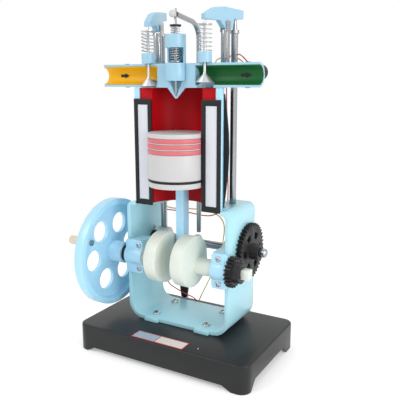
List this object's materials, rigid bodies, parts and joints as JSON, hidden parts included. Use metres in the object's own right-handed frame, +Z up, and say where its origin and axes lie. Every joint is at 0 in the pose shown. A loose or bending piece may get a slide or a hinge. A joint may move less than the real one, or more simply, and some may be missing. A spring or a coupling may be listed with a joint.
{
  "type": "petrol engine model",
  "caption": "Cut-away four-stroke petrol engine model on a base: crankshaft with flywheel handle, piston in a sectioned cylinder, geared camshaft, push rods, rockers, valves and injector",
  "frame": {"origin": "centre of the whole part seen from above, at the surface it stands on", "axes": "+X to the gear side, -Y the cut front, +Z up"},
  "size_m": [0.247, 0.153, 0.4069],
  "materials": {
    "base_plastic": "black moulded base, semi-gloss",
    "blue_plastic": "light-blue moulded plastic, semi-gloss",
    "liner_red": "dark red painted liner",
    "section_black": "black trim",
    "panel_white": "pale cut-face panels",
    "port_yellow": "yellow port lining",
    "port_green": "green port lining",
    "chrome_metal": "bright plated metal",
    "crank_white": "milky moulded plastic",
    "gear_black": "black moulded gears",
    "knob_cream": "cream handle",
    "piston_white": "white piston",
    "ring_pink": "red painted piston rings",
    "valve_white": "satin valves",
    "spring_steel": "wire springs",
    "wire_red": "red insulated wire",
    "wire_yellow": "yellow insulated wire"
  },
  "bodies": {
    "root": {"base": "base_plastic", "crankcase_frame": "blue_plastic", "left_bearing_cap": "blue_plastic", "right_bearing_cap": "blue_plastic", "cylinder_block": "blue_plastic", "cylinder_liner": "liner_red", "left_section_frame": "section_black", "right_section_frame": "section_black", "left_section_panel": "panel_white", "right_section_panel": "panel_white", "rear_jacket": "section_black", "cylinder_head": "blue_plastic", "intake_port": "port_yellow", "exhaust_port": "port_green", "intake_valve_guide": "blue_plastic", "exhaust_valve_guide": "blue_plastic", "injector_body": "blue_plastic", "intake_rocker_post": "chrome_metal", "exhaust_rocker_post": "chrome_metal", "intake_push_rod_tube": "chrome_metal", "exhaust_push_rod_tube": "chrome_metal", "intake_lamp": "section_black", "exhaust_lamp": "section_black", "switch_body": "chrome_metal", "red_wire": "wire_red", "yellow_wire": "wire_yellow", "intake_valve_spring": "spring_steel", "exhaust_valve_spring": "spring_steel", "needle_spring": "spring_steel", "top_spring": "spring_steel"},
    "crankshaft": {"left_crank_web": "crank_white", "right_crank_web": "crank_white", "crank_pin": "chrome_metal", "flywheel": "blue_plastic", "crank_gear": "gear_black", "handle_spindle": "chrome_metal"},
    "knob": {"handle_knob": "knob_cream"},
    "dowel": {"crank_dowel": "chrome_metal"},
    "piston_body": {"piston": "piston_white", "compression_ring_1": "ring_pink", "compression_ring_2": "ring_pink", "compression_ring_3": "ring_pink", "oil_ring": "section_black"},
    "rod_body": {"connecting_rod": "blue_plastic", "wrist_pin": "chrome_metal"},
    "camshaft_body": {"camshaft": "chrome_metal", "intake_cam": "crank_white", "pump_cam": "crank_white", "exhaust_cam": "crank_white", "cam_gear": "gear_black"},
    "intake_rod": {"intake_push_rod": "chrome_metal"},
    "intake_rocker_body": {"intake_rocker": "blue_plastic"},
    "intake_valve_body": {"intake_valve": "valve_white"},
    "exhaust_rod": {"exhaust_push_rod": "chrome_metal"},
    "exhaust_rocker_body": {"exhaust_rocker": "blue_plastic"},
    "exhaust_valve_body": {"exhaust_valve": "valve_white"},
    "injector": {"injector_needle": "chrome_metal", "injector_arm": "chrome_metal", "injector_knob": "piston_white"},
    "switch_arm": {"switch_lever": "section_black"}
  },
  "joints": [
    {"name": "crankshaft_turn", "type": "hinge", "parent": "root", "child": "crankshaft", "pos_m": [0.006, -0.00923, 0.115], "axis": [1, 0, 0], "continuous": true},
    {"name": "handle_knob_spin", "type": "hinge", "parent": "crankshaft", "child": "knob", "pos_m": [0.006, -0.05012, 0.13495], "axis": [1, 0, 0], "continuous": true},
    {"name": "crank_dowel_turn", "type": "hinge", "parent": "crankshaft", "child": "dowel", "pos_m": [0.006, -0.00329, 0.11002], "axis": [1, 0, 0], "continuous": true},
    {"name": "piston_turn", "type": "hinge", "parent": "dowel", "child": "piston_body", "pos_m": [0.006, -0.00923, 0.10504], "axis": [1, 0, 0], "continuous": true},
    {"name": "connecting_rod_turn", "type": "hinge", "parent": "crankshaft", "child": "rod_body", "pos_m": [0.006, 0.00265, 0.10504], "axis": [1, 0, 0], "continuous": true},
    {"name": "camshaft_turn", "type": "hinge", "parent": "root", "child": "camshaft_body", "pos_m": [0.006, 0.03783, 0.12717], "axis": [1, 0, 0], "continuous": true},
    {"name": "intake_push_rod_lift", "type": "slide", "parent": "root", "child": "intake_rod", "axis": [0, 0, 1], "range_m": [-0.00208, 0.00028], "stiffness_N_per_m": 100},
    {"name": "intake_rocker_turn", "type": "hinge", "parent": "root", "child": "intake_rocker_body", "pos_m": [-0.03905, 0.0227, 0.387], "axis": [0.9675, 0.2529, 0], "range_deg": [-7.84, 1.24]},
    {"name": "intake_valve_lift", "type": "slide", "parent": "root", "child": "intake_valve_body", "axis": [0, 0, 1], "range_m": [-0.00065, 0.00445], "deforming": ["intake_valve_spring"]},
    {"name": "exhaust_push_rod_lift", "type": "slide", "parent": "root", "child": "exhaust_rod", "axis": [0, 0, 1], "range_m": [0, 0.00237], "stiffness_N_per_m": 100},
    {"name": "exhaust_rocker_turn", "type": "hinge", "parent": "root", "child": "exhaust_rocker_body", "pos_m": [0.05105, 0.0227, 0.387], "axis": [0.9675, -0.2529, 0], "range_deg": [-0.2, 8.88]},
    {"name": "exhaust_valve_lift", "type": "slide", "parent": "root", "child": "exhaust_valve_body", "axis": [0, 0, 1], "range_m": [-0.00505, 0.00005], "deforming": ["exhaust_valve_spring"]},
    {"name": "injector_lift", "type": "slide", "parent": "root", "child": "injector", "axis": [0, 0, 1], "range_m": [0, 0.002], "stiffness_N_per_m": 150, "deforming": ["needle_spring", "top_spring"]},
    {"name": "switch_lever_tilt", "type": "hinge", "parent": "root", "child": "switch_arm", "pos_m": [-0.0295, 0.06498, 0.0378], "axis": [1, 0, 0], "range_deg": [-8, 8]}
  ],
  "couplings": [
    {"joint": "camshaft_turn", "follows": "crankshaft_turn", "ratio": -0.5},
    {"joint": "crank_dowel_turn", "follows": "crankshaft_turn", "ratio": -2},
    {"joint": "piston_turn", "follows": "crankshaft_turn", "ratio": 1},
    {"joint": "connecting_rod_turn", "follows": "crankshaft_turn", "ratio": -1},
    {"joint": "intake_rocker_turn", "follows": "intake_push_rod_lift", "rad_per_m": 63.967},
    {"joint": "intake_valve_lift", "follows": "intake_push_rod_lift", "ratio": -2.1109},
    {"joint": "exhaust_rocker_turn", "follows": "exhaust_push_rod_lift", "rad_per_m": 63.967},
    {"joint": "exhaust_valve_lift", "follows": "exhaust_push_rod_lift", "ratio": -2.1109}
  ]
}
